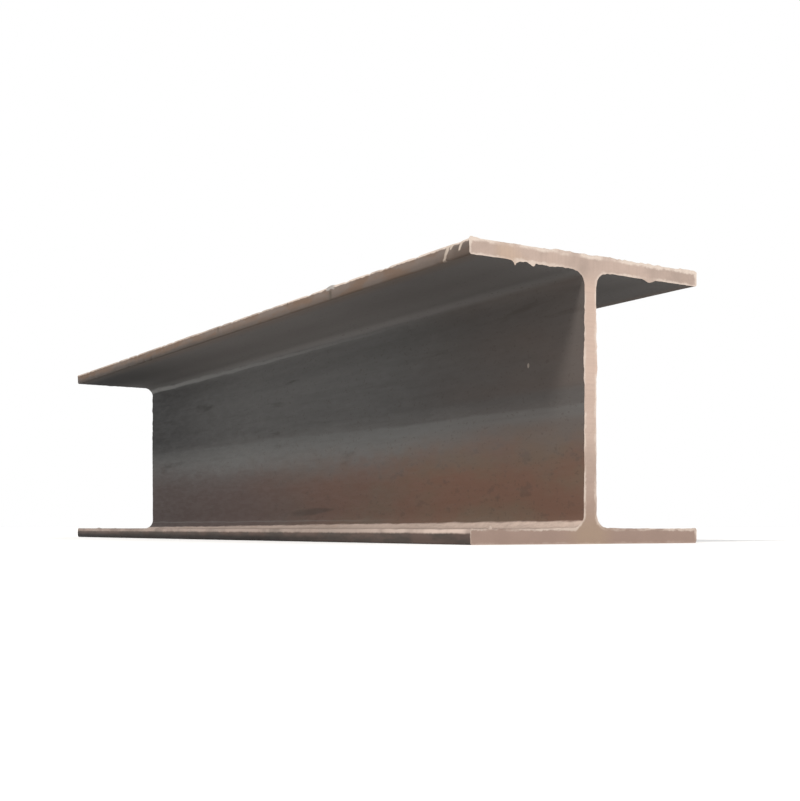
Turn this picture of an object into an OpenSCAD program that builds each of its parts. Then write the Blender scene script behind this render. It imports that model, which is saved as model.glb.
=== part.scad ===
// Hot-rolled steel H-beam, one cut length of wide-flange stock.
// It lies with its web upright: length along X, flange width along Y, depth along Z.
// The origin is at the middle of the bottom flange's underside.

/* [Beam] */
// Length between the two cut ends
beam_length = 1680; // [400:10:12000]
// Overall depth, from the underside of one flange to the outside of the other
beam_depth = 400; // [240:1:450]
// Width of each flange
flange_width = 408; // [180:1:450]

/* [Rolled section] */
// Thickness of the web
web_thickness = 21; // [6:0.5:30]
// Thickness of each flange
flange_thickness = 21; // [10:0.5:45]
// Radius of the fillet where the web meets a flange
root_radius = 22; // [5:0.5:30]
// Radius of the four edges along each flange tip
toe_radius = 3; // [0.5:0.5:4.5]

/* [Hidden] */
$fn = 96;
// Gap between the two inner flange faces
clear_depth = beam_depth - 2 * flange_thickness;
// How far each flange stands out past the web
outstand = (flange_width - web_thickness) / 2;
// How far a cutting shape runs past the outline
overrun = 5;

// One flange in the section's plane, its lower face on y = 0, with four rounded edges.
module flange_profile() {
    half = flange_width / 2 - toe_radius;
    translate([-half, 0])
        square([2 * half, flange_thickness]);
    translate([-flange_width / 2, toe_radius])
        square([flange_width, flange_thickness - 2 * toe_radius]);
    for (side = [-1, 1])
        for (level = [toe_radius, flange_thickness - toe_radius])
            translate([side * half, level])
                circle(r = toe_radius);
}

// The open trough on the +x side of the web: its two inner corners are the root fillets.
module trough_profile() {
    reach = outstand + overrun;
    translate([root_radius, 0])
        square([reach - root_radius, clear_depth]);
    translate([0, root_radius])
        square([root_radius + 1, clear_depth - 2 * root_radius]);
    for (level = [root_radius, clear_depth - root_radius])
        translate([root_radius, level])
            circle(r = root_radius);
}

// A block between the flanges with both troughs taken out, which leaves the web and its four fillets.
// It runs a toe radius into each flange, so that the three shapes join.
module web_profile() {
    half = web_thickness / 2 + root_radius;
    difference() {
        translate([-half, flange_thickness - toe_radius])
            square([2 * half, clear_depth + 2 * toe_radius]);
        for (side = [0, 1])
            mirror([side, 0])
                translate([web_thickness / 2, flange_thickness])
                    trough_profile();
    }
}

// The whole rolled section, standing on y = 0 and centred on x = 0.
module beam_profile() {
    flange_profile();
    translate([0, beam_depth - flange_thickness])
        flange_profile();
    web_profile();
}

// The beam: the section carried straight along X between two square-cut ends.
module h_beam() {
    color([0.36, 0.31, 0.28])
        translate([-beam_length / 2, 0, 0])
            rotate([90, 0, 90])
                linear_extrude(height = beam_length)
                    beam_profile();
}

h_beam();
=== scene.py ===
import math

import bpy
import numpy as np
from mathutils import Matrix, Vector


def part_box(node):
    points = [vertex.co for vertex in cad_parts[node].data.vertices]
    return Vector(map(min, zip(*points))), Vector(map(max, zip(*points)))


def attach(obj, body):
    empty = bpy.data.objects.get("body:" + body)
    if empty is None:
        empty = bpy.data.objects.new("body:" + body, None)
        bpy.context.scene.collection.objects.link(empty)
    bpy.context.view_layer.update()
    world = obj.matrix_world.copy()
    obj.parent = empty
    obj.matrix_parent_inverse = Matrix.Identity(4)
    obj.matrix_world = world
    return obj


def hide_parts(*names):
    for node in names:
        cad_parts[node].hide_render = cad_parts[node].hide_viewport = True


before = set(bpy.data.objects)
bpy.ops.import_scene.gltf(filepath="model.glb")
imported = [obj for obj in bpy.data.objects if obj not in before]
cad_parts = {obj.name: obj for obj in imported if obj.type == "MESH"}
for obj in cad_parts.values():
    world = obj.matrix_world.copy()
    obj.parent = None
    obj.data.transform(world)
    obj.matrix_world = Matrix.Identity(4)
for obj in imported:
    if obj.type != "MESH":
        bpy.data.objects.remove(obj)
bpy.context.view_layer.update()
low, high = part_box("h_beam")
millimetre = 0.001
print("frame loaded", [round(v, 4) for v in high - low])


def smoothStep(a, b, x):
    # 0 below a, 1 above b, and 3t^2 - 2t^3 between them
    t = np.clip((x - a) / (b - a), 0.0, 1.0)
    return t * t * (3.0 - 2.0 * t)


def cellValue(cell, seed):
    # One fixed random number from 0 to 1 for each whole-number cell; the large numbers only mix its bits
    mixed = (cell[..., 0] * 73856093) ^ (cell[..., 1] * 19349663) ^ (cell[..., 2] * 83492791)
    mixed = mixed ^ (seed * 2654435761)
    mixed = (mixed ^ (mixed >> 13)) * 1274126177 & 0xFFFFFFFF
    mixed = (mixed ^ (mixed >> 16)) * 2246822519 & 0xFFFFFFFF
    return (mixed ^ (mixed >> 15)) / 4294967295.0


def cloudNoise(point, seed):
    # Smooth noise from -1 to 1: the eight corner values of each cell, blended by smooth weights
    point = np.asarray(point, float)
    cell = np.floor(point).astype(np.int64)
    part = point - cell
    part = part * part * (3.0 - 2.0 * part)
    total = 0.0
    for dx in (0, 1):
        for dy in (0, 1):
            for dz in (0, 1):
                weight = (
                    (part[..., 0] if dx else 1 - part[..., 0])
                    * (part[..., 1] if dy else 1 - part[..., 1])
                    * (part[..., 2] if dz else 1 - part[..., 2])
                )
                total = total + weight * cellValue(cell + np.array([dx, dy, dz]), seed)
    return 2.0 * total - 1.0


def roughNoise(point, seed, layers=3):
    # Sum of cloudNoise at doubling fineness and halving height
    total, height = 0.0, 1.0
    for layer in range(layers):
        total = total + height * cloudNoise(np.asarray(point) * 2**layer, seed + 17 * layer)
        height *= 0.5
    return total


section = {
    "web": 21 * millimetre,  # web thickness
    "flange": 21 * millimetre,  # flange thickness
    "root": 22 * millimetre,  # fillet between web and flange
    "toe": 3 * millimetre,  # rounded edges of the flange tips
    "toeSteps": 4,  # grid steps in half a toe's arc
    "thickSteps": 8,  # grid steps through a flange, between its toes
    "flatSteps": 72,  # grid steps along a flange, from toe to fillet
    "webAcross": 16,  # grid steps through the web
    "rootSteps": 24,  # grid steps along a fillet
    "webSteps": 76,  # grid steps up the web
}


def roundCorner(u, v):
    # A square corner zone pressed onto a quarter disc: each point keeps its direction, and its larger
    # coordinate becomes its distance from the arc's centre
    far = np.hypot(u, v)
    scale = np.where(far > 1e-12, np.maximum(u, v) / np.maximum(far, 1e-12), 1.0)
    inside = (u > 0) & (v > 0)
    return np.where(inside, u * scale, u), np.where(inside, v * scale, v)


def sectionGrid(spec, width, depth):
    # The whole H as one grid of (y, z) points, its quads, and the closed outline, anticlockwise from +X.
    # Columns run across the flange and rows through it. Between the flanges the middle columns narrow along
    # the fillet's arc, y = web/2 + root (1 - sin a), z = flange + root (1 - cos a), then go straight up.
    toe, half = spec["toe"], width / 2
    neck = spec["web"] / 2 + spec["root"]
    toeUnit = np.linspace(0, 1, spec["toeSteps"] + 1)
    wing = np.concatenate([toe * toeUnit, np.linspace(toe, half - neck, spec["flatSteps"] + 1)[1:]]) - half
    middle = np.linspace(-1, 1, spec["webAcross"] + 1)
    columns = np.concatenate([wing, neck * middle[1:-1], -wing[::-1]])
    rows = np.concatenate([
        toe * toeUnit,
        np.linspace(toe, spec["flange"] - toe, spec["thickSteps"] + 1)[1:-1],
        spec["flange"] - toe * toeUnit[::-1],
    ])
    y, z = np.meshgrid(columns, rows)
    overY = np.maximum(np.abs(y) - (half - toe), 0)
    middleZ = spec["flange"] / 2
    overZ = np.maximum(np.abs(z - middleZ) - (middleZ - toe), 0)
    roundY, roundZ = roundCorner(overY, overZ)
    y = np.where(overY > 0, np.sign(y) * (half - toe + roundY), y)
    z = np.where(overZ > 0, middleZ + np.sign(z - middleZ) * (middleZ - toe + roundZ), z)
    angle = np.linspace(0, math.pi / 2, spec["rootSteps"] + 1)[1:]
    rootHalf = spec["web"] / 2 + spec["root"] * (1 - np.sin(angle))
    rootLevel = spec["flange"] + spec["root"] * (1 - np.cos(angle))
    webLevel = np.linspace(rootLevel[-1], depth - rootLevel[-1], spec["webSteps"] + 1)[1:-1]
    blockHalf = np.concatenate([rootHalf, np.full(len(webLevel), spec["web"] / 2), rootHalf[::-1]])
    blockLevel = np.concatenate([rootLevel, webLevel, depth - rootLevel[::-1]])
    blockY = blockHalf[:, None] * middle
    blockZ = np.repeat(blockLevel[:, None], len(middle), 1)
    points = np.concatenate([
        np.stack([y, z], -1).reshape(-1, 2),
        np.stack([blockY, blockZ], -1).reshape(-1, 2),
        np.stack([y, depth - z], -1)[::-1].reshape(-1, 2),
    ])
    across, through = len(columns), len(rows)
    bottom = np.arange(across * through).reshape(through, across)
    block = bottom.size + np.arange(blockY.size).reshape(blockY.shape)
    top = bottom.size + block.size + np.arange(bottom.size).reshape(through, across)
    first, last = len(wing) - 1, across - len(wing)  # the flange's columns at the two fillets
    core = np.concatenate([bottom[-1:, first:last + 1], block, top[:1, first:last + 1]])
    quads = np.concatenate([
        np.stack([grid[:-1, :-1], grid[:-1, 1:], grid[1:, 1:], grid[1:, :-1]], -1).reshape(-1, 4)
        for grid in (bottom, core, top)
    ])
    outline = np.concatenate([
        bottom[0, :-1], bottom[:-1, -1], bottom[-1, :last:-1], core[:-1, -1],
        top[0, last:-1], top[:-1, -1], top[-1, :0:-1], top[:0:-1, 0], top[0, :first],
        core[:0:-1, 0], bottom[-1, first:0:-1], bottom[:0:-1, 0],
    ])
    return points, quads, outline


def outlineNormals(loop):
    # Outward direction at each outline point: the chord between its neighbours, turned a quarter clockwise
    chord = np.roll(loop, -1, 0) - np.roll(loop, 1, 0)
    normal = np.stack([chord[:, 1], -chord[:, 0]], -1)
    return normal / np.linalg.norm(normal, axis=1, keepdims=True)


surface = {
    "seed": 41,
    "webWave": 0.45 * millimetre,  # slow unevenness of the rolled faces
    "webWaveSize": (0.42, 0.16, 0.16),  # and its size along X, Y and Z, in metres
    "faceRipple": 0.12 * millimetre,  # shorter unevenness
    "faceRippleSize": (0.09, 0.03, 0.03),
    "toeWander": 0.5 * millimetre,  # how far the flange tips wander in and out
    "toeWanderSize": (0.12, 0.5, 0.02),
    "nickDepth": 2.4 * millimetre,  # deepest dent in a flange edge
    "nickReach": (2.5 * millimetre, 8.0 * millimetre),  # shortest and longest, along the beam
    "nickSpread": 4 * millimetre,  # and how far one spreads round the edge
    "nickShares": [0.05, 0.3, 0.3, 0.35],  # how many fall on each edge of a side, from the lowest
    "nickCount": 90,
    "burr": 2.4 * millimetre,  # usual height of the ragged burr round a cut end
    "burrSizes": (0.05, 0.012, 0.0045),  # sizes of its lumps, in metres
    "drip": 4.5 * millimetre,  # height of the few beads of slag that hang or stand out further
    "dripSizes": (0.06, 0.009),  # spacing of their groups and of the beads, in metres
    "cornerReach": 9 * millimetre,  # a heavier burr at one top corner reaches this far
    "farBurr": 0.5,  # how much of it the far end has
    "hanging": 7.5 * millimetre,  # one pointed drop of slag under the top flange
    "hangingAt": 131 * millimetre,  # how far it is from the middle
    "hangingHalf": 2.8 * millimetre,
    "frontRagged": (35 * millimetre, 127 * millimetre),  # the near top flange is ragged below between these
    "burrReach": 2.6 * millimetre,  # how far back from the cut a burr fades out
    "cutWave": 0.6 * millimetre,  # unevenness of the cut faces
    "cutWaveSizes": (0.07, 0.012),  # coarse and fine, in metres
    "cutInset": 0.2 * millimetre,  # and how far their middle lies behind the rim
    "endSteps": [0, 0.6, 1.3, 2.2, 3.4, 5.0, 7.2, 10.2, 14.0],  # fine rings from the cut, in millimetres
    "nearSteps": [14.0, 18.5, 24.0, 30.0, 36.0],  # half as fine
    "longStep": 4.2 * millimetre,  # spacing of the rings between
    "flatReach": 30 * millimetre,  # spacing of those rings' points on the flat
    "turnReach": 17.0,  # and round a curve, in degrees
    "sharpAngle": 38.0,  # edges sharper than this are shaded as edges
    "turnZone": (0.045, 0.021),  # depths in metres where the cut's marks turn from the web's to the flange's
}


slagLump = {  # a pale lump over a painted shadow of a notch on the near flange tip, in metres
    "from": 0.378,  # distance from the cut
    "half": 0.017,
    "length": 0.0065,  # how far down the tip it reaches
    "height": 0.0022,
    "slotHalf": 0.0065,
}


def skinOffset(x, loop, spec, size):
    # Outward offset of the rolled skin: slow waves plus shorter ripples everywhere, and tips that wander;
    # the face that lies on the ground stays flat
    seed, half = spec["seed"], size[0] / 2
    x, y, z = np.broadcast_arrays(x[:, None], loop[None, :, 0], loop[None, :, 1])
    place = np.stack([x, y, z], -1)
    offset = spec["webWave"] * cloudNoise(place / spec["webWaveSize"], seed)
    offset = offset + spec["faceRipple"] * roughNoise(place / spec["faceRippleSize"], seed + 1, 2)
    tip = smoothStep(half - 0.006, half - 0.001, np.abs(y))
    offset = offset + tip * spec["toeWander"] * roughNoise(place / spec["toeWanderSize"], seed + 2, 4)
    return offset * smoothStep(0.0, 0.004, z)


def lumpRise(x, loop, size):
    # The slag lump on the near top edge: one bell along the beam times one around the edge
    width, depth = size
    along = np.exp(-(((x.max() - slagLump["from"] - x) / (slagLump["half"] * 0.7)) ** 2))
    fromEdge = np.hypot(loop[:, 0] + width / 2, loop[:, 1] - depth)
    around = np.exp(-((fromEdge / slagLump["length"]) ** 2))
    return slagLump["height"] * along[:, None] * around[None]


def nickDents(x, loop, spec, size):
    # Inward dents at the flange edges: each is a bell along the beam times a bell around one toe edge
    width, depth = size
    random = np.random.default_rng(spec["seed"])
    flange, corner = section["flange"], section["toe"] * 0.3  # an edge's middle is this far inside its square
    levels = np.array([corner, flange - corner, depth - flange + corner, depth - corner])
    dent = np.zeros((len(x), len(loop)))
    for _ in range(spec["nickCount"]):
        centre = random.uniform(x.min(), x.max())
        reach = random.uniform(*spec["nickReach"])
        level = levels[random.choice(len(levels), p=spec["nickShares"])]
        side = random.choice([-1, 1])
        deep = spec["nickDepth"] * random.uniform(0.25, 1.0)
        along = np.exp(-(((x - centre) / reach) ** 2))
        fromToe = np.hypot(loop[:, 0] - side * (width / 2 - corner), loop[:, 1] - level)
        around = np.exp(-((fromToe / spec["nickSpread"]) ** 2))
        dent = np.maximum(dent, deep * along[:, None] * around[None])
    return dent


def burrHeight(loop, side, spec, size):
    # Ragged lip round one cut end: layers of noise cut off below zero, tallest along the top, up the web and
    # under the near top flange, plus a few narrow beads where a second noise peaks, one heavier corner and
    # one hanging drop; none on the face that the beam lies on
    width, depth = size
    y, z = loop.T
    aside = np.abs(y)
    seed = spec["seed"] + (5 if side > 0 else 9)
    place = np.stack([y, z, np.full(len(loop), side * 3.0)], -1)
    coarse, middling, fine = spec["burrSizes"]
    lump = 0.35 + 0.45 * roughNoise(place / middling, seed, 2) + 0.5 * cloudNoise(place / fine, seed + 4)
    lump = lump + 0.5 * cloudNoise(place / coarse, seed + 3)
    topFace = smoothStep(depth - 0.004, depth - 0.001, z)
    webUpper = smoothStep(0.05, 0.03, aside) * smoothStep(depth * 0.45, depth * 0.65, z)
    underTop = np.exp(-(((z - depth + section["flange"]) / 0.0015) ** 2)) * (y < 0)
    raggedFrom, raggedTo = spec["frontRagged"]
    fromRoot = smoothStep(raggedFrom - 0.005, raggedFrom + 0.005, aside)
    raggedBelow = underTop * fromRoot * smoothStep(raggedTo + 0.008, raggedTo - 0.007, aside)
    tall = 0.35 + 0.65 * np.maximum(np.maximum(topFace, webUpper), 0.95 * raggedBelow)
    groupSize, beadSize = spec["dripSizes"]
    bead = smoothStep(0.45, 0.75, cloudNoise(place / beadSize, seed + 7))
    bead = bead * smoothStep(0.0, 0.4, cloudNoise(place / groupSize, seed + 8))
    bead = bead * (1 - 0.5 * topFace) * smoothStep(0.012, 0.04, aside)
    height = spec["burr"] * np.clip(lump, 0, 1.4) * tall + spec["drip"] * bead
    corner = np.hypot(y + width / 2, z - depth) / spec["cornerReach"]
    height = height + 0.6 * spec["burr"] * np.exp(-(corner**2))
    if side > 0:
        drop = np.exp(-np.abs(y + spec["hangingAt"]) / spec["hangingHalf"])
        height = height + spec["hanging"] * underTop * drop
    else:
        height = height * spec["farBurr"]
    return height * smoothStep(0.0005, 0.012, z)


def coarsePlaces(loop, spec):
    # Even places along the outline, one each time that length / flatReach + turning / turnReach passes a
    # whole number, so that flats get few points and curves enough
    step = np.roll(loop, -1, 0) - loop
    heading = np.arctan2(step[:, 1], step[:, 0])
    turn = np.abs(np.angle(np.exp(1j * (heading - np.roll(heading, 1)))))
    run = np.cumsum(np.hypot(*step.T) / spec["flatReach"] + np.degrees(turn) / spec["turnReach"])
    chosen = np.flatnonzero(np.diff(np.floor(run), prepend=-1.0) > 0)
    return np.unique(np.append(0, chosen // 2 * 2))


def joinRings(near, far):
    # Quads between two rings with equal point counts, the first one on the +X side
    nearNext, farNext = np.roll(near, -1), np.roll(far, -1)
    return np.stack([near, far, farNext, nearNext], -1)


def spreadRings(fine, coarse, at, fineIsNear):
    # Triangles where a ring meets a coarser one that has only its points numbered "at": each fine edge takes
    # the nearer end of the coarse edge beside it, and one triangle stands on each coarse edge
    after = np.append(at[1:], len(fine))
    middle = (at + after) // 2
    edge = np.arange(len(fine))
    beside = np.searchsorted(at, edge, side="right") - 1
    owner = (beside + (edge >= middle[beside])) % len(coarse)
    fans = np.stack([fine, coarse[owner], np.roll(fine, -1)], -1)
    stands = np.stack([fine[middle % len(fine)], coarse, np.roll(coarse, -1)], -1)
    triangles = np.concatenate([fans, stands])
    return triangles if fineIsNear else triangles[:, ::-1]


def cutRun(points, depth, zone):
    # How far along the cut each point lies: across the flanges it grows with y, up the web with z
    inner, outer = zone
    inFlange = smoothStep(depth / 2 - inner, depth / 2 - outer, np.abs(points[:, 1] - depth / 2))
    return points[:, 0] * inFlange + points[:, 1] * (1 - inFlange)


def edgeDistance(points, spec, size):
    # Depth of each point below the H's outline: the distance to the nearest flange face, tip or web face,
    # and to the fillet's arc near a fillet
    width, depth = size
    y, z = np.abs(points[:, 0]), depth / 2 - np.abs(points[:, 1] - depth / 2)
    inFlange = np.minimum(z, width / 2 - y)
    neck = spec["web"] / 2 + spec["root"]
    toArc = np.hypot(y - neck, z - spec["flange"] - spec["root"]) - spec["root"]
    toFace = np.where(y > neck, spec["flange"] - z, toArc)
    inWeb = np.where(z > spec["flange"] + spec["root"], spec["web"] / 2 - y, toFace)
    return np.maximum(np.where(z < spec["flange"], np.minimum(inFlange, toFace), inWeb), 0.0)


def ringPlaces(spec, low, high):
    # The rings' places along X, from the +X cut to the other, close together at both cuts and even between,
    # and each ring's level: 0 with all of the outline's points, 1 with half of them, 2 with few
    endSteps = np.array(spec["endSteps"]) * millimetre
    nearSteps = np.array(spec["nearSteps"]) * millimetre
    spanSteps = int(round((high.x - low.x - 2 * nearSteps[-1]) / spec["longStep"]))
    middle = np.linspace(high.x - nearSteps[-1], low.x + nearSteps[-1], spanSteps + 1)
    x = np.concatenate([
        high.x - endSteps, high.x - nearSteps[1:], middle[1:-1],
        low.x + nearSteps[:0:-1], low.x + endSteps[::-1],
    ])
    counts = [len(endSteps), len(nearSteps) - 1, len(middle) - 2, len(nearSteps) - 1, len(endSteps)]
    return x, np.repeat([0, 1, 2, 1, 0], counts)


def ringPoints(x, loop, normal, spec, low, high):
    # Every outline point in every ring, moved along its outward direction by waves, nicks, the lump and the
    # burr, which dies away from each cut as e^(-distance / burrReach), and never below the ground
    size = (high.y - low.y, high.z - low.z)
    offset = skinOffset(x, loop, spec, size) - nickDents(x, loop, spec, size) + lumpRise(x, loop, size)
    for side, edge in ((1, high.x), (-1, low.x)):
        fade = np.exp(-np.abs(x - edge) / spec["burrReach"])
        offset = offset + fade[:, None] * burrHeight(loop, side, spec, size)[None]
    ringY = loop[None, :, 0] + normal[None, :, 0] * offset
    ringZ = np.maximum(loop[None, :, 1] + normal[None, :, 1] * offset, 0.0)
    return np.stack([np.repeat(x[:, None], len(loop), 1), ringY, ringZ], -1)


def joinLevels(rings, level, places):
    # Faces between each ring and the next: quads between rings of one level, triangles where it changes
    faces = []
    for i in range(len(rings) - 1):
        near, far = places[level[i]], places[level[i + 1]]
        if level[i] == level[i + 1]:
            faces.append(joinRings(rings[i], rings[i + 1]))
        elif level[i] < level[i + 1]:
            faces.append(spreadRings(rings[i], rings[i + 1], np.searchsorted(near, far), True))
        else:
            faces.append(spreadRings(rings[i + 1], rings[i], np.searchsorted(far, near), False))
    return faces


def cutPoints(points, side, edge, spec):
    # The section's points on one cut face, which lies a little behind its rim and waves in and out by noise
    place = np.stack([points[:, 0], points[:, 1], np.full(len(points), side * 1.0)], -1)
    coarse, fine = spec["cutWaveSizes"]
    seed = spec["seed"] + 20
    wave = 0.6 * cloudNoise(place / coarse, seed) + 0.4 * roughNoise(place / fine, seed + 1, 2)
    cutX = edge + side * (spec["cutWave"] * wave - spec["cutInset"])
    return np.stack([cutX, points[:, 0], points[:, 1]], -1)


def buildBeam(spec, low, high):
    # The outline carried along X through rings of points, with the section's own grid closing both ends
    size = (high.y - low.y, high.z - low.z)
    points, quads, outline = sectionGrid(section, *size)
    loop = points[outline]
    normal = outlineNormals(loop)
    x, level = ringPlaces(spec, low, high)
    places = [np.arange(len(loop)), np.arange(0, len(loop), 2), coarsePlaces(loop, spec)]
    allPoints = ringPoints(x, loop, normal, spec, low, high)
    vertices = [allPoints[i, places[k]] for i, k in enumerate(level)]
    starts = np.cumsum([0] + [len(ring) for ring in vertices])
    rings = [start + np.arange(len(ring)) for start, ring in zip(starts, vertices)]
    inside = np.setdiff1d(np.arange(len(points)), outline)
    capFaces, count = [], starts[-1]
    for side, edge, ring in ((1, high.x, rings[0]), (-1, low.x, rings[-1])):
        vertices.append(cutPoints(points, side, edge, spec)[inside])
        grid = np.empty(len(points), int)
        grid[outline] = ring
        grid[inside] = count + np.arange(len(inside))
        count += len(inside)
        capFaces.append(grid[quads] if side > 0 else grid[quads][:, ::-1])
    along, fromEdge = cutRun(points, size[1], spec["turnZone"]), edgeDistance(points, section, size)
    marks = {
        "upward": [normal[places[k], 1] for k in level] + [np.zeros(len(inside))] * 2,
        "fromEdge": [np.zeros(len(ring)) for ring in rings] + [fromEdge[inside]] * 2,
        "alongCut": [along[outline][places[k]] for k in level] + [along[inside]] * 2,
    }
    marks = {title: np.concatenate(values) for title, values in marks.items()}
    return np.concatenate(vertices), joinLevels(rings, level, places), capFaces, marks


def fillMesh(name, vertices, parts, marks, sharpAngle):
    # parts: (faces array, material index) pairs, and marks: one number a point under each name
    mesh = bpy.data.meshes.new(name)
    corners = np.concatenate([f.reshape(-1) for f, _ in parts]).astype(np.int32)
    sizes = np.concatenate([np.full(len(f), f.shape[1]) for f, _ in parts])
    starts = np.concatenate([[0], np.cumsum(sizes)[:-1]]).astype(np.int32)
    slots = np.concatenate([np.full(len(f), m) for f, m in parts]).astype(np.int32)
    mesh.vertices.add(len(vertices))
    mesh.vertices.foreach_set("co", vertices.astype(np.float32).reshape(-1))
    mesh.loops.add(len(corners))
    mesh.loops.foreach_set("vertex_index", corners)
    mesh.polygons.add(len(sizes))
    mesh.polygons.foreach_set("loop_start", starts)
    mesh.polygons.foreach_set("material_index", slots)
    mesh.update(calc_edges=True)
    for title, values in marks.items():
        mesh.attributes.new(title, "FLOAT", "POINT").data.foreach_set("value", values.astype(np.float32))
    mesh.shade_smooth()
    mesh.set_sharp_from_angle(angle=math.radians(sharpAngle))
    piece = bpy.data.objects.new(name, mesh)
    bpy.context.scene.collection.objects.link(piece)
    return piece


vertices, skinFaces, capFaces, marks = buildBeam(surface, low, high)
parts = [(faces, 0) for faces in skinFaces] + [(faces, 1) for faces in capFaces]
beam = fillMesh("rolledBeam", vertices, parts, marks, surface["sharpAngle"])
beam.data.calc_loop_triangles()
print("beam surface", len(beam.data.vertices), "points", len(beam.data.loop_triangles), "triangles")


def put(value, socket):
    # A socket is linked, and a plain value is set
    if isinstance(value, bpy.types.NodeSocket):
        socket.id_data.links.new(value, socket)
    else:
        socket.default_value = value


def nodeBeside(kind, *values):
    # A new node in the tree of the first socket among the values
    socket = next(value for value in values if isinstance(value, bpy.types.NodeSocket))
    return socket.id_data.nodes.new(kind)


def number(operation, a, b=0.0, clamp=False):
    node = nodeBeside("ShaderNodeMath", a, b)
    node.operation = operation
    node.use_clamp = clamp
    put(a, node.inputs[0])
    put(b, node.inputs[1])
    return node.outputs[0]


def times(*factors):
    # All the factors multiplied together
    product = factors[0]
    for factor in factors[1:]:
        product = number("MULTIPLY", product, factor)
    return product


def plus(*terms):
    # All the terms added up
    total = terms[0]
    for term in terms[1:]:
        total = number("ADD", total, term)
    return total


def minus(a, b):
    return number("SUBTRACT", a, b)


def ratio(a, b):
    return number("DIVIDE", a, b)


def away(value, middle=0.0):
    # How far the value is from the middle, on either side
    return number("ABSOLUTE", minus(value, middle))


def swing(noise, reach):
    # Noise from 0 to 1 turned into a swing of half the reach either way
    return times(minus(noise, 0.5), reach)


def squareSum(a, b):
    # a squared and b squared, added: it is 1 on an ellipse's edge when each is measured in half widths
    return plus(times(a, a), times(b, b))


def ramp(value, fromLow, fromHigh, toLow=0.0, toHigh=1.0):
    # A smooth ramp from toLow at fromLow to toHigh at fromHigh, level beyond them
    node = nodeBeside("ShaderNodeMapRange", value)
    node.interpolation_type = "SMOOTHSTEP"
    put(value, node.inputs["Value"])
    for name, v in (("From Min", fromLow), ("From Max", fromHigh), ("To Min", toLow), ("To Max", toHigh)):
        node.inputs[name].default_value = v
    return node.outputs["Result"]


def noiseAt(vector, scale, detail=4.0, rough=0.55, twist=0.0, shift=(0, 0, 0)):
    # Noise from 0 to 1. Three numbers as the scale stretch it along the axes, and the shift then moves it.
    if isinstance(scale, tuple):
        mapping = nodeBeside("ShaderNodeMapping", vector)
        put(vector, mapping.inputs["Vector"])
        mapping.inputs["Scale"].default_value = scale
        mapping.inputs["Location"].default_value = shift
        vector, scale = mapping.outputs["Vector"], 1.0
    node = nodeBeside("ShaderNodeTexNoise", vector)
    put(vector, node.inputs["Vector"])
    node.inputs["Scale"].default_value = scale
    node.inputs["Detail"].default_value = detail
    node.inputs["Roughness"].default_value = rough
    node.inputs["Distortion"].default_value = twist
    return node.outputs["Fac"]


def blend(share, a, b):
    # Colour a where the share is 0, and b where it is 1
    node = nodeBeside("ShaderNodeMix", share)
    node.data_type = "RGBA"
    put(share, node.inputs["Factor"])
    put((*a, 1) if isinstance(a, tuple) else a, node.inputs["A"])
    put((*b, 1) if isinstance(b, tuple) else b, node.inputs["B"])
    return node.outputs["Result"]


def axes(vector):
    node = nodeBeside("ShaderNodeSeparateXYZ", vector)
    put(vector, node.inputs[0])
    return node.outputs["X"], node.outputs["Y"], node.outputs["Z"]


def marked(place, title):
    # The number that the mesh carries at each point under this name
    node = nodeBeside("ShaderNodeAttribute", place)
    node.attribute_name = title
    return node.outputs["Fac"]


def raised(height, depth, strength):
    # The shaded direction that a height gives
    node = nodeBeside("ShaderNodeBump", height)
    put(height, node.inputs["Height"])
    node.inputs["Distance"].default_value = depth
    node.inputs["Strength"].default_value = strength
    return node.outputs["Normal"]


def freshMaterial(name):
    material = bpy.data.materials.new(name)
    material.use_nodes = True
    nodes = material.node_tree.nodes
    return material, nodes["Principled BSDF"], nodes.new("ShaderNodeTexCoord").outputs["Object"]


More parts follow.
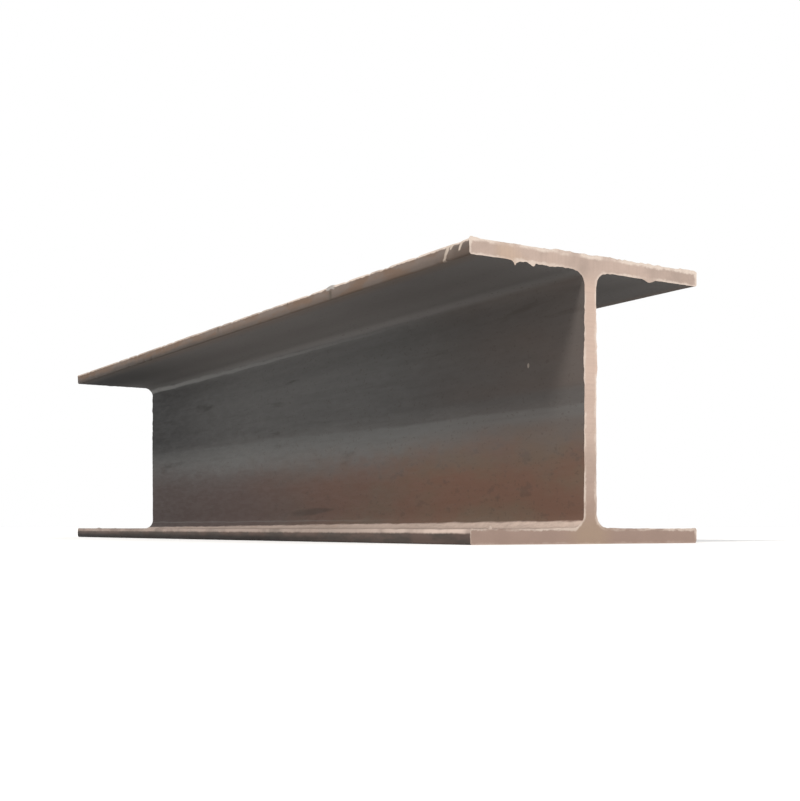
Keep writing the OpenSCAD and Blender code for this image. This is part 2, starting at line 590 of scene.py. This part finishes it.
skinLook = {
    "scaleDark": (0.064, 0.0615, 0.0595),  # mill scale
    "scalePlain": (0.073, 0.071, 0.0685),
    "scaleBlueAndSun": (0.09, 0.0895, 0.0875),  # bluer scale half way up the web, lighter as painted sunlight below the top flange's shadow line
    "paintedFillHigh": (0.104, 0.102, 0.1),  # paler colour toward the top fillet: painted fill light in the top flange's shade
    "paintedBounceUnder": (0.142, 0.136, 0.131),  # painted bounce light: a paler colour on the faces that look down
    "paintedBounceUnderDark": (0.118, 0.112, 0.108),
    "underEdge": (0.14, 0.108, 0.087),
    "underRoot": (0.185, 0.178, 0.172),
    # painted shade, toward the far end and the ends of the undersides
    "paintedFarShade": (0.008, 0.008, 0.0083),
    # painted fill light for the web's shaded back
    "paintedBackFill": (0.165, 0.143, 0.128),
    "farShare": 0.95,  # how much painted shade there is at the far end
    "smudge": (0.036, 0.033, 0.03),
    "smear": (0.04, 0.031, 0.027),
    "flake": (0.098, 0.095, 0.091),  # thin, greyer patches with crisp edges
    "speck": (0.045, 0.034, 0.029),
    "rustWarm": (0.106, 0.059, 0.042),  # rust film on the web, near end
    "rustTan": (0.1, 0.068, 0.048),
    "rustPlum": (0.062, 0.045, 0.041),  # and away from it
    "haze": (0.082, 0.066, 0.058),  # thin brown haze over the near end's scale
    "rootHighlight": (0.15, 0.15, 0.146),  # painted highlight: a bright line in the top fillets
    "topPlain": (0.15, 0.129, 0.116),  # what looks up: duller scale
    "topDark": (0.1, 0.087, 0.08),
    "topRust": (0.175, 0.108, 0.077),
    "topDust": (0.27, 0.23, 0.203),
    "dust": (0.3, 0.237, 0.205),  # dust in the bottom troughs
    "dustDeepAndSheen": (0.45, 0.352, 0.298),  # and where it is thickest, against the web; paler too, as painted sheen and sunlight, most at the near end
    "toeTan": (0.126, 0.099, 0.084),
    "toeRust": (0.116, 0.077, 0.055),
    "toeFar": (0.092, 0.059, 0.04),
    "toeFarPale": (0.107, 0.082, 0.068),
    "toeDark": (0.05, 0.04, 0.034),
    "toeLow": (0.078, 0.054, 0.045),
    # painted contact shadow where the lower tips meet the ground
    "foot": (0.012, 0.01, 0.009),
    "edge": (0.5, 0.42, 0.365),  # bare, chipped edges, also a painted highlight where light catches them
    "edgeLow": (0.44, 0.35, 0.3),
    "slag": (0.4, 0.335, 0.28),
    "lump": (0.27, 0.25, 0.233),
    # painted shadow in a notch under the slag lump, and in two nicks
    "notchShade": (0.058, 0.046, 0.034),
    "rough": (0.62, 0.76),
    "underRough": 1.0,  # faces that look down
    "grain": (0.0004, 0.13),  # depth, in metres, and strength of the fine grain
    "specular": 0.14,
}

# what is on the web, by its height and size, in metres
# the bluer band's crisp upper edge follows the top flange's shadow line: painted sunlight below it, over
# bluer scale
webBand = {"top": 0.2, "edge": 0.006, "wander": 0.018, "farDrop": 0.012, "fadeLow": 0.1, "fadeHigh": 0.165}
rustFilm = {"none": 0.19, "full": 0.095, "wander": 0.05}
lowSmear = {"x": 0.04, "half": 0.1, "z": 0.054, "thick": 0.0105, "tilt": 0.004}
paleFleck = {"x": 0.714, "z": 0.261, "halfWide": 0.0028, "halfTall": 0.0042}
# where the painted highlight lines lie in the fillets
rootHighlight = {
    "down": 0.0315,  # below the beam's top
    "wide": 0.0058,
    "narrow": 0.0022,
    "wander": 0.007,
    "lowLevel": 0.036,  # height of the faint one at the bottom fillet
    "inside": 0.03,  # both lie this close to the web's middle
}

# the pale line along each upper flange edge, partly painted highlight: thickness and raggedness
edgeLines = {"top": (0.0043, 0.0055), "bottom": (0.0075, 0.004)}

# slag runs down the near flange tip: distance from the cut, half width and length, in metres
slagRuns = [(0.0492, 0.0058, 0.0225), (0.0405, 0.0046, 0.0085), (0.0168, 0.0044, 0.0145)]
edgeTicks = [(0.529, 0.003, 0.009), (0.817, 0.0042, 0.014)]  # and two painted shadows of nicks, given in the same way
slagSway = 0.006  # how much they wander
slagLean = 0.64  # how far a run leans from the cut for each metre down


def scaleColour(look, place, x, z, low, high):
    # Mill scale streaked along the beam: paler to the top fillet as painted fill light in the flange's shade,
    # a bluer band with a crisp upper edge half way up, partly bluer scale and partly painted sunlight below
    # the top flange's shadow line, and a few dark smudges
    streak = noiseAt(place, (1.2, 20, 20), 5, 0.6)
    fine = noiseAt(place, (5, 150, 150), 3, 0.5, shift=(2, 5, 1))
    slow = noiseAt(place, (2.4, 1, 1), 3, shift=(6, 0, 0))
    colour = blend(ramp(streak, 0.34, 0.66), look["scaleDark"], look["scalePlain"])
    # Painted fill light: paler colour high on the web, in the top flange's shade, away from the near end
    paintedFill = times(
        ramp(z, 0.21, 0.33, 0.35, 1.0),
        ramp(x, 0.62, 0.15, 0.1, 1.0),
        ramp(streak, 0.3, 0.6, 0.6, 1.0),
    )
    colour = blend(paintedFill, colour, look["paintedFillHigh"])
    level = minus(z, swing(slow, webBand["wander"]))
    level = minus(level, ramp(x, high.x, low.x, 0.0, webBand["farDrop"]))
    # Partly painted sunlight: a bluer, lighter band below the top flange's shadow line
    bandWithSun = times(
        ramp(level, webBand["top"], webBand["top"] - webBand["edge"]),
        ramp(z, webBand["fadeLow"], webBand["fadeHigh"]),
    )
    colour = blend(bandWithSun, colour, look["scaleBlueAndSun"])
    smudge = noiseAt(place, (5, 26, 26), 4, 0.55, 0.5, (1, 6, 3))
    colour = blend(ramp(smudge, 0.62, 0.74, 0.0, 0.6), colour, look["smudge"])
    colour = blend(ramp(fine, 0.5, 0.75, 0.0, 0.12), colour, look["smudge"])
    flake = noiseAt(place, (6, 22, 22), 8, 0.68, 0.25, (2, 7, 3))
    return blend(ramp(flake, 0.56, 0.59, 0.0, 0.22), colour, look["flake"])


def farOver(look, place, x, y, z, low, colour):
    # Painted shade to the far end, most of all above half height, and painted fill light, a paler mottled
    # colour, on the web's back
    # Painted shade: darker toward the far end, most above the top flange's shadow line and on the front
    far = times(
        number("POWER", ramp(x, low.x * 0.1, low.x * 1.05), 1.6),
        ramp(z, 0.18, 0.24, 0.5, 1.0),
        ramp(y, 0.05, -0.05, 0.35, 1.0),
        look["farShare"],
    )
    colour = blend(far, colour, look["paintedFarShade"])
    mottle = noiseAt(place, (3, 22, 22), 7, 0.62, 0.15, (5, 5, 9))
    # Painted fill light: a paler, mottled colour on the web's back, which lies in shade
    back = times(ramp(y, 0.0, 0.01), ramp(mottle, 0.36, 0.6, 0.24, 0.44))
    return blend(back, colour, look["paintedBackFill"])


def bittyNoise(place):
    # Small broken patches, which break up both the rust film and the smear
    return noiseAt(place, (30, 60, 60), 5, 0.65, shift=(8, 3, 1))


def rustOver(look, place, x, z, level, low, high, colour):
    # A rust film below half height, warm at the near end and plum-brown further off, and a thin haze above it
    # that leaves the bluer band, with its painted sunlight, clear
    patch = noiseAt(place, (4, 9, 9), 9, 0.66, 0.3, (7, 3, 5))
    wide = noiseAt(place, (2.2, 7, 7), 3, shift=(4, 4, 2))
    bitty = bittyNoise(place)
    near = ramp(plus(x, times(wide, 0.5)), low.x * 0.2, high.x)
    film = blend(ramp(patch, 0.38, 0.62), look["rustTan"], look["rustWarm"])
    film = blend(near, look["rustPlum"], film)
    film = blend(ramp(bitty, 0.58, 0.66, 0.0, 0.3), film, look["speck"])
    inBand = times(ramp(z, 0.165, 0.19), ramp(z, 0.235, 0.208))
    hazy = times(
        ramp(x, high.x * 0.35, high.x),
        ramp(wide, 0.3, 0.6, 0.55, 1.0),
        ramp(inBand, 0.0, 1.0, 1.0, 0.35),
    )
    colour = blend(hazy, colour, look["haze"])
    level = plus(level, swing(bitty, rustFilm["wander"]))
    lowDown = ramp(level, rustFilm["none"], rustFilm["full"])
    share = times(lowDown, ramp(patch, 0.25, 0.5, 0.8, 1.0))
    return blend(share, colour, film)


def spotsOver(look, place, x, y, z, colour):
    # On the web's front: one soft dark smear, a tilted ellipse that thins to one end, and one pale fleck
    bitty = bittyNoise(place)
    front = ramp(y, 0.005, -0.005)
    along = ratio(minus(x, lowSmear["x"]), lowSmear["half"])
    above = minus(minus(z, lowSmear["z"]), times(along, lowSmear["tilt"]))
    thick = ramp(along, -1.0, 1.0, lowSmear["thick"], lowSmear["thick"] * 0.45)
    spread = plus(squareSum(along, ratio(above, thick)), swing(bitty, 1.2))
    smear = times(ramp(spread, 1.1, 0.1, 0.0, 0.6), front)
    colour = blend(smear, colour, look["smear"])
    wide = ratio(minus(x, paleFleck["x"]), paleFleck["halfWide"])
    tall = ratio(minus(z, paleFleck["z"]), paleFleck["halfTall"])
    fleck = times(ramp(squareSum(wide, tall), 1.1, 0.3, 0.0, 0.45), front)
    return blend(fleck, colour, look["slag"])


def rootHighlightOver(look, place, x, y, z, low, high, colour):
    # A painted highlight along a top fillet: a bright line, wispy and widest at the far end, wandering a
    # little and fading out before the near one, with a faint thin one at the front's bottom fillet
    wander = noiseAt(place, (7, 0, 0), 3)
    strand = noiseAt(place, (9, 260, 260), 4, 0.6, shift=(5, 0, 0))
    level = plus(z, swing(wander, rootHighlight["wander"]))
    fromLine = plus(away(level, high.z - rootHighlight["down"]), swing(strand, 0.006))
    reach = ramp(x, low.x, high.x * 0.6, rootHighlight["wide"], rootHighlight["narrow"])
    line = times(
        ramp(ratio(fromLine, reach), 1.0, 0.3),
        ramp(x, high.x * 0.62, high.x * -0.35, 0.0, 0.95),
    )
    lowLine = plus(away(level, rootHighlight["lowLevel"]), times(strand, 0.003))
    lowLine = times(
        ramp(lowLine, 0.0036, 0.0016, 0.0, 0.24),
        ramp(x, high.x * 0.5, 0.0),
        ramp(y, 0.01, -0.01),
    )
    inFillet = ramp(away(y), rootHighlight["inside"] + 0.006, rootHighlight["inside"])
    return blend(times(plus(line, lowLine), inFillet), colour, look["rootHighlight"])


def underColour(look, place, x, y, low, high, upward, colour):
    # Faces that look down: a paler colour standing in for bounce light, painted shade darker to both ends,
    # and brown along the flange edges
    wide = noiseAt(place, (2.0, 9, 9), 4, 0.6, shift=(2, 9, 6))
    aside = away(y)
    darker = ramp(wide, 0.3, 0.65, 0.0, 0.5)
    under = blend(darker, look["paintedBounceUnder"], look["paintedBounceUnderDark"])
    nearEdge = ramp(aside, high.y - 0.035, high.y - 0.004, 0.0, 0.7)
    under = blend(nearEdge, under, look["underEdge"])
    under = blend(ramp(aside, 0.12, 0.05, 0.0, 0.7), under, look["underRoot"])
    # Painted shade: the undersides darken toward both ends
    ends = times(
        ramp(x, 0.05, low.x),
        ramp(y, 0.05, -0.05, 0.4, 1.0),
        ramp(aside, 0.04, 0.15, 0.54, 0.9),
        ramp(aside, 0.165, 0.195, 1.0, 0.72),
    )
    ends = plus(ends, ramp(x, high.x * 0.25, high.x, 0.0, 0.36))
    under = blend(ends, under, look["paintedFarShade"])
    return blend(ramp(upward, -0.5, -0.95, 0.0, 0.85), colour, under)


def topColour(look, place, x, y, z, high):
    # Faces that look up: dull scale, mottled darker and with rust, under a thin veil of dust, which lies
    # thickest in the bottom troughs and next to the web, where its paleness is also painted sheen and
    # sunlight
    wide = noiseAt(place, (2.6, 6, 6), 5, 0.55, 0.3, (9, 2, 4))
    mottle = noiseAt(place, (9, 16, 16), 6, 0.65, 0.4, (3, 8, 1))
    fine = noiseAt(place, (60, 110, 110), 5, 0.65)
    scratch = noiseAt(place, (1.6, 170, 170), 2, 0.4, shift=(3, 0, 0))
    chipped = noiseAt(place, (16, 34, 34), 8, 0.7, 0.3, (1, 4, 9))
    darker = ramp(mottle, 0.42, 0.68, 0.0, 0.55)
    colour = blend(darker, look["topPlain"], look["topDark"])
    rusty = times(ramp(mottle, 0.48, 0.36), ramp(wide, 0.4, 0.6, 0.25, 0.9))
    colour = blend(rusty, colour, look["topRust"])
    colour = blend(ramp(wide, 0.35, 0.7, 0.12, 0.55), colour, look["topDust"])
    colour = blend(ramp(fine, 0.35, 0.7, 0.0, 0.22), colour, look["topDark"])
    colour = blend(ramp(scratch, 0.66, 0.72, 0.0, 0.4), colour, look["topDust"])
    colour = blend(ramp(chipped, 0.6, 0.625, 0.0, 0.4), colour, look["topDark"])
    colour = blend(ramp(chipped, 0.385, 0.37, 0.0, 0.55), colour, look["topRust"])
    inTrough = ramp(z, high.z * 0.6, high.z * 0.4)
    aside = away(y)
    veil = times(inTrough, ramp(mottle, 0.36, 0.6, 0.35, 0.85))
    colour = blend(veil, colour, look["dust"])
    drift = plus(times(wide, 0.05), times(mottle, 0.07))
    drifted = plus(aside, minus(drift, 0.06))
    atTip = ramp(aside, high.y - 0.02, high.y - 0.006, 0.0, 0.5)
    grainy = noiseAt(place, (90, 200, 200), 4, 0.7, shift=(1, 3, 3))
    deep = times(
        inTrough,
        number("MAXIMUM", ramp(drifted, 0.082, 0.03), atTip),
        ramp(grainy, 0.3, 0.6, 0.62, 1.0),
        ramp(fine, 0.62, 0.4, 0.7, 1.0),
        # painted sunlight: the pale dust grows toward the near end
        ramp(x, high.x * 0.2, high.x, 0.36, 1.0),
    )
    return blend(deep, colour, look["dustDeepAndSheen"])


def toeColour(look, place, x, z, low, high):
    # The flange tips: tan and rust on the upper ones, browner to the far end and darker to their lower edge
    # as painted shade, and dark brown on the lower ones, near black at the ground as a painted contact shadow
    blotch = noiseAt(place, (14, 50, 50), 5, 0.6, shift=(2, 2, 8))
    down = minus(high.z, z)
    upper = blend(ramp(blotch, 0.38, 0.6), look["toeRust"], look["toeTan"])
    upperFar = blend(ramp(blotch, 0.4, 0.62), look["toeFar"], look["toeFarPale"])
    upper = blend(ramp(x, high.x * 0.25, low.x), upper, upperFar)
    # Painted shade: the upper tips darken toward their lower, down-turned edge
    lowEdge = ramp(plus(down, times(blotch, 0.014)), 0.015, 0.026)
    shaded = times(lowEdge, ramp(x, high.x * 0.6, low.x * 0.4, 0.4, 0.95))
    upper = blend(shaded, upper, look["toeDark"])
    lower = blend(ramp(blotch, 0.4, 0.62), look["toeDark"], look["toeLow"])
    awayFromCut = ramp(x, high.x * 0.8, high.x * 0.2, 0.15, 1.0)
    # Painted contact shadow: the lower tips go near black at the ground, less so by the cut
    foot = times(ramp(z, 0.0145, 0.004, 0.0, 0.9), awayFromCut)
    lower = blend(foot, lower, look["foot"])
    return blend(ramp(z, 0.1, 0.2), lower, upper)


def edgeLinesOver(look, place, x, z, high, ragged, colour):
    # A broken pale line along the upper edge of every tip, where the steel is chipped bare and a painted
    # highlight stands for light catching the edge
    gaps = noiseAt(place, (11, 2, 2), 4, 0.6, shift=(8, 1, 6))
    topFade = ramp(x, high.x * -0.2, high.x * 0.75, 0.6, 0.92)
    lowFade = ramp(x, high.x * 0.5, high.x, 0.48, 1.0)
    for top, line, fade, tint in (
        (high.z, edgeLines["top"], topFade, "edge"),
        (section["flange"], edgeLines["bottom"], lowFade, "edgeLow"),
    ):
        thick, shake = line
        down = minus(top, z)
        reach = plus(down, times(ragged, shake))
        share = times(
            ramp(reach, thick, thick * 0.55),
            ramp(down, -0.004, -0.0035),
            ramp(gaps, 0.36, 0.52, 0.6, 1.0),
            fade,
        )
        colour = blend(share, colour, look[tint])
    return colour


def slagOver(look, place, x, y, z, high, ragged, colour):
    # The near top tip only: browner by the cut, with slag runs, a lump over a painted shadow of a notch and
    # two painted shadows of nicks
    down, fromCut = minus(high.z, z), minus(high.x, x)
    nearTip = ramp(y, -high.y * 0.9, -high.y * 0.95)
    inTop = ramp(z, high.z * 0.5, high.z * 0.6)
    sway = swing(noiseAt(place, 120, 3), slagSway)
    swayed = plus(fromCut, sway)
    scorched = times(
        ramp(fromCut, 0.056, 0.03, 0.0, 0.42),
        ramp(down, 0.004, 0.007),
        inTop,
        nearTip,
    )
    colour = blend(scorched, colour, look["toeDark"])
    runAt = plus(swayed, times(down, -slagLean))
    for start, half, length in slagRuns:
        reach = ramp(down, 0.002, length, half, half * 0.55)
        run = times(
            ramp(ratio(away(runAt, start), reach), 1.0, 0.45),
            ramp(plus(down, sway), length, length * 0.8),
            ramp(ragged, -0.15, 0.1, 0.55, 0.9),
            nearTip,
        )
        colour = blend(run, colour, look["slag"])
    aside, length = away(swayed, slagLump["from"]), slagLump["length"]
    lump = times(
        ramp(aside, slagLump["half"], slagLump["half"] * 0.5),
        ramp(plus(down, sway), length, length * 0.7),
        nearTip,
    )
    colour = blend(lump, colour, look["lump"])
    slotAside = plus(aside, times(sway, 0.8))
    notchShade = times(
        ramp(slotAside, slagLump["slotHalf"], slagLump["slotHalf"] * 0.1, 0.0, 0.8),
        ramp(down, length - 0.001, length + 0.003),
        ramp(down, 0.021, 0.015, 0.45, 1.0),
        inTop,
        nearTip,
    )
    colour = blend(notchShade, colour, look["notchShade"])
    # Painted shadows of two nicks under the edge line
    for start, half, length in edgeTicks:
        tick = times(
            ramp(away(swayed, start), half, half * 0.2, 0.0, 0.75),
            ramp(down, length, length * 0.5),
            ramp(down, 0.0015, 0.003),
            nearTip,
        )
        colour = blend(tick, colour, look["notchShade"])
    return colour


def skinMaterial(look, low, high):
    # Scale, rust and dust by place and by which way the rolled surface faces, with painted light and shade
    # among them, and the tips painted last
    material, shader, place = freshMaterial("rolledSkin")
    x, y, z = axes(place)
    upward = marked(place, "upward")
    cloud = noiseAt(place, (1.7, 6, 6), 4, shift=(3, 1, 2))
    grain = noiseAt(place, (30, 140, 140), 4, 0.6)
    specks = noiseAt(place, (150, 230, 230), 2, 0.5, shift=(6, 2, 4))
    broken = noiseAt(place, (26, 120, 120), 5, 0.65, shift=(4, 3, 7))
    ragged = minus(noiseAt(place, (60, 30, 30), 5, 0.7, shift=(4, 1, 1)), 0.5)
    level = plus(z, swing(cloud, 0.1))
    colour = scaleColour(look, place, x, z, low, high)
    colour = rustOver(look, place, x, z, level, low, high, colour)
    colour = spotsOver(look, place, x, y, z, colour)
    colour = farOver(look, place, x, y, z, low, colour)
    colour = underColour(look, place, x, y, low, high, upward, colour)
    colour = rootHighlightOver(look, place, x, y, z, low, high, colour)
    colour = blend(ramp(specks, 0.63, 0.7, 0.0, 0.3), colour, look["speck"])
    uneven = minus(plus(times(cloud, 0.18), times(broken, 0.26)), 0.22)
    lift = plus(upward, uneven, ramp(x, low.x, high.x, -0.12, 0.17))
    settled = ramp(lift, 0.64, 0.8)
    colour = blend(settled, colour, topColour(look, place, x, y, z, high))
    tip = toeColour(look, place, x, z, low, high)
    tip = edgeLinesOver(look, place, x, z, high, ragged, tip)
    tip = slagOver(look, place, x, y, z, high, ragged, tip)
    colour = blend(ramp(away(y), high.y - 0.006, high.y - 0.002), colour, tip)
    put(colour, shader.inputs["Base Color"])
    under = ramp(upward, -0.5, -0.95, 0.0, look["underRough"])
    rough = number("MAXIMUM", ramp(grain, 0.3, 0.7, *look["rough"]), under)
    put(rough, shader.inputs["Roughness"])
    shader.inputs["Specular IOR Level"].default_value = look["specular"]
    put(raised(grain, *look["grain"]), shader.inputs["Normal"])
    return material


cutLook = {
    "face": (0.47, 0.36, 0.303),
    "tan": (0.475, 0.347, 0.258),
    "footTan": (0.33, 0.24, 0.172),  # where the web meets the bottom flange
    "shade": (0.37, 0.285, 0.24),
    "web": (0.55, 0.412, 0.337),  # brighter up the web
    "grime": (0.28, 0.195, 0.158),  # low on the end, where it is dirtier
    "rim": (0.64, 0.54, 0.465),
    "rimReach": 0.0038,  # how far in the bright rim reaches, in metres
    "rimShake": 0.009,  # and how ragged it is
    "marks": (0.0007, 0.5),  # depth, in metres, and strength of the cutting marks
    "roughness": 0.65,
    "specular": 0.25,
}


def cutMaterial(look, high):
    # The cut face: pale beige with soft darker and tanner patches, a brighter ragged rim, faint marks across
    # the cut, and a dirtier foot
    material, shader, place = freshMaterial("cutEnd")
    _, y, z = axes(place)
    aside = away(y)
    blotch = noiseAt(place, 16, 4, 0.55)
    warm = noiseAt(place, (9, 9, 9), 3, shift=(45, 45, 45))
    grain = noiseAt(place, 220, 4, 0.6)
    ragged = noiseAt(place, 90, 4, 0.6)
    broken = noiseAt(place, (24, 24, 24), 4, 0.6, shift=(48, 216, 96))
    combine = nodeBeside("ShaderNodeCombineXYZ", place)
    put(marked(place, "alongCut"), combine.inputs[0])
    drag = noiseAt(combine.outputs[0], (260, 1, 1), 4, 0.6)
    colour = blend(ramp(blotch, 0.35, 0.62), look["shade"], look["face"])
    colour = blend(ramp(warm, 0.5, 0.7, 0.0, 0.8), colour, look["tan"])
    web = times(
        ramp(aside, 0.05, 0.015),
        ramp(z, high.z - 0.02, high.z - 0.05),
        ramp(z, 0.12, 0.28, 0.45, 0.9),
    )
    colour = blend(web, colour, look["web"])
    colour = blend(ramp(drag, 0.4, 0.7, 0.0, 0.3), colour, look["shade"])
    foot = ramp(plus(z, times(blotch, 0.05)), 0.19, 0.04, 0.0, 0.85)
    colour = blend(foot, colour, look["grime"])
    corner = times(ramp(aside, 0.05, 0.012), ramp(z, 0.055, 0.02, 0.0, 0.7))
    colour = blend(corner, colour, look["footTan"])
    inward = plus(marked(place, "fromEdge"), swing(ragged, look["rimShake"]))
    topRim = ramp(z, high.z - 0.012, high.z - 0.004)
    reach = times(plus(times(topRim, 0.6), 1.0), look["rimReach"])
    rim = times(
        ramp(ratio(inward, reach), 1.0, 0.2),
        ramp(broken, 0.38, 0.58, 0.15, 0.95),
    )
    rim = number("MULTIPLY", rim, plus(times(topRim, 0.4), 0.75), clamp=True)
    rim = times(rim, ramp(z, 0.004, 0.018, 0.25, 1.0))
    colour = blend(rim, colour, look["rim"])
    put(colour, shader.inputs["Base Color"])
    shader.inputs["Roughness"].default_value = look["roughness"]
    shader.inputs["Specular IOR Level"].default_value = look["specular"]
    height = plus(times(drag, 0.7), grain)
    put(raised(height, *look["marks"]), shader.inputs["Normal"])
    return material


beam.data.materials.append(skinMaterial(skinLook, low, high))
beam.data.materials.append(cutMaterial(cutLook, high))
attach(beam, "root")
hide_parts("h_beam")
print("materials made")

stageLook = {
    "floor": (0.82, 0.815, 0.81),
    "floorHalf": 60.0,  # half its width, in metres
    "floorRough": 0.9,
    "sky": (1.0, 1.0, 1.0),
    "skyStrength": 1.0,
    "key": 2.4,  # one warm lamp
    "keyColour": (1.0, 0.965, 0.92),
    "keyFrom": (0.24, -0.7, 0.67),
    "keyAngle": 12.0,  # its width in degrees, which softens the shadows
}


def makeStage(look):
    # A pale floor, an even pale sky all round and one lamp from the front and above
    mesh = bpy.data.meshes.new("floor")
    half = look["floorHalf"]
    corners = [(-half, -half, 0), (half, -half, 0), (half, half, 0), (-half, half, 0)]
    mesh.from_pydata(corners, [], [(0, 1, 2, 3)])
    floor = bpy.data.objects.new("floor", mesh)
    bpy.context.scene.collection.objects.link(floor)
    material, shader, _ = freshMaterial("paleFloor")
    shader.inputs["Base Color"].default_value = (*look["floor"], 1)
    shader.inputs["Roughness"].default_value = look["floorRough"]
    mesh.materials.append(material)
    world = bpy.data.worlds.new("studio")
    world.use_nodes = True
    background = world.node_tree.nodes["Background"]
    background.inputs["Color"].default_value = (*look["sky"], 1)
    background.inputs["Strength"].default_value = look["skyStrength"]
    bpy.context.scene.world = world
    lamp = bpy.data.lights.new("key", "SUN")
    lamp.energy = look["key"]
    lamp.color = look["keyColour"]
    lamp.angle = math.radians(look["keyAngle"])
    key = bpy.data.objects.new("key", lamp)
    key.rotation_mode = "QUATERNION"
    key.rotation_quaternion = Vector(look["keyFrom"]).to_track_quat("Z", "Y")
    bpy.context.scene.collection.objects.link(key)


cameraPlace = {
    "fromCorner": (1.289, -0.9095, 0.0221),  # from the foot of the near corner of the flanges
    "azimuth": 58.1,  # turned so that the beam is in the middle
    "lens": 54.5,
    "sensor": 36.0,
    "shiftUp": 0.1592,
    "clip": (0.02, 200.0),
}


def makeCamera(spec, low, high):
    # A level camera close to the ground, placed from the near corner and looking along the azimuth
    data = bpy.data.cameras.new("camera")
    data.lens = spec["lens"]
    data.sensor_width = spec["sensor"]
    data.shift_y = spec["shiftUp"]
    data.clip_start, data.clip_end = spec["clip"]
    camera = bpy.data.objects.new("camera", data)
    camera.location = Vector((high.x, low.y, low.z)) + Vector(spec["fromCorner"])
    turn = math.radians(spec["azimuth"])
    back = Vector((math.sin(turn), -math.cos(turn), 0.0))
    camera.rotation_mode = "QUATERNION"
    camera.rotation_quaternion = back.to_track_quat("Z", "Y")
    bpy.context.scene.collection.objects.link(camera)
    bpy.context.scene.camera = camera


makeStage(stageLook)
makeCamera(cameraPlace, low, high)
bpy.context.scene.view_settings.view_transform = "Standard"
print("stage and camera made")
